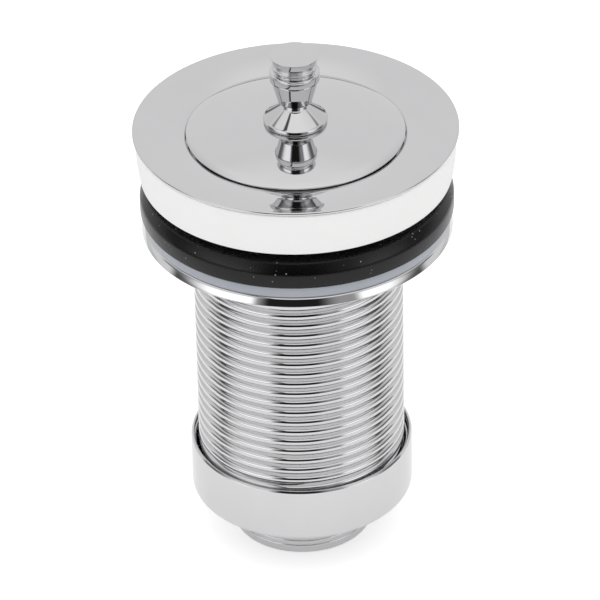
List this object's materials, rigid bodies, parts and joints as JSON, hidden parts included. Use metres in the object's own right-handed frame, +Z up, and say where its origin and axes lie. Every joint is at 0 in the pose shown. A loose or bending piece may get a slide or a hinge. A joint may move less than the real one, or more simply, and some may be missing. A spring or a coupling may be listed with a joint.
{
  "type": "pop up basin waste",
  "caption": "Chrome pop up basin waste: domed plug with a turned knob in a dished flange, threaded tube with clamping washers and backnut, and a collared outlet tail.",
  "frame": {"origin": "centre of the outlet end, where the part stands", "axes": "+Z up along the drain axis, from the outlet to the knob; the parts are round about Z"},
  "size_m": [0.064, 0.064, 0.1098],
  "materials": {
    "chrome": "polished",
    "brass": "machined",
    "stainless": "turned",
    "rubber": "moulded",
    "white_foam": "soft foam",
    "slip_plastic": "moulded",
    "rotor_plastic": "moulded",
    "fibre": "fibre"
  },
  "bodies": {
    "waste": {"waste_body": "chrome", "bridge": "brass", "cartridge_barrel": "brass", "cartridge_cap": "brass", "wiper_ring": "rubber", "cartridge_gasket": "fibre", "cartridge_locknut": "brass", "guide_pin_a": "stainless", "guide_pin_b": "stainless", "cartridge_spring": "stainless", "flange_seal": "white_foam", "outlet_collar": "chrome", "outlet_tail": "chrome", "outlet_seal": "rubber"},
    "plug": {"plug_disc": "chrome", "plug_seal": "rubber", "seal_retainer": "stainless", "plug_locknut": "brass", "knob_base": "chrome", "knob_head": "chrome", "knob_stud": "stainless", "plunger": "stainless", "rotor_clip": "stainless"},
    "rotor": {"latch_rotor": "rotor_plastic"},
    "clamp": {"rubber_washer": "rubber", "slip_washer": "slip_plastic"},
    "nut": {"backnut": "chrome"}
  },
  "joints": [
    {"name": "plug_lift", "type": "slide", "parent": "waste", "child": "plug", "axis": [0, 0, 1], "range_m": [0, 0.008], "deforming": ["cartridge_spring"]},
    {"name": "rotor_turn", "type": "hinge", "parent": "plug", "child": "rotor", "pos_m": [0, 0, 0.058], "axis": [0, 0, 1], "range_deg": [0, 60.5]},
    {"name": "clamp_slide", "type": "slide", "parent": "waste", "child": "clamp", "axis": [0, 0, 1], "range_m": [-0.0452, 0]},
    {"name": "nut_spin", "type": "hinge", "parent": "clamp", "child": "nut", "pos_m": [0, 0, 0.072], "axis": [0, 0, 1], "range_deg": [-7016, 0]}
  ],
  "couplings": [
    {"joint": "rotor_turn", "follows": "plug_lift", "rad_per_m": 130.9},
    {"joint": "clamp_slide", "follows": "nut_spin", "m_per_rad": 0.00036749}
  ]
}
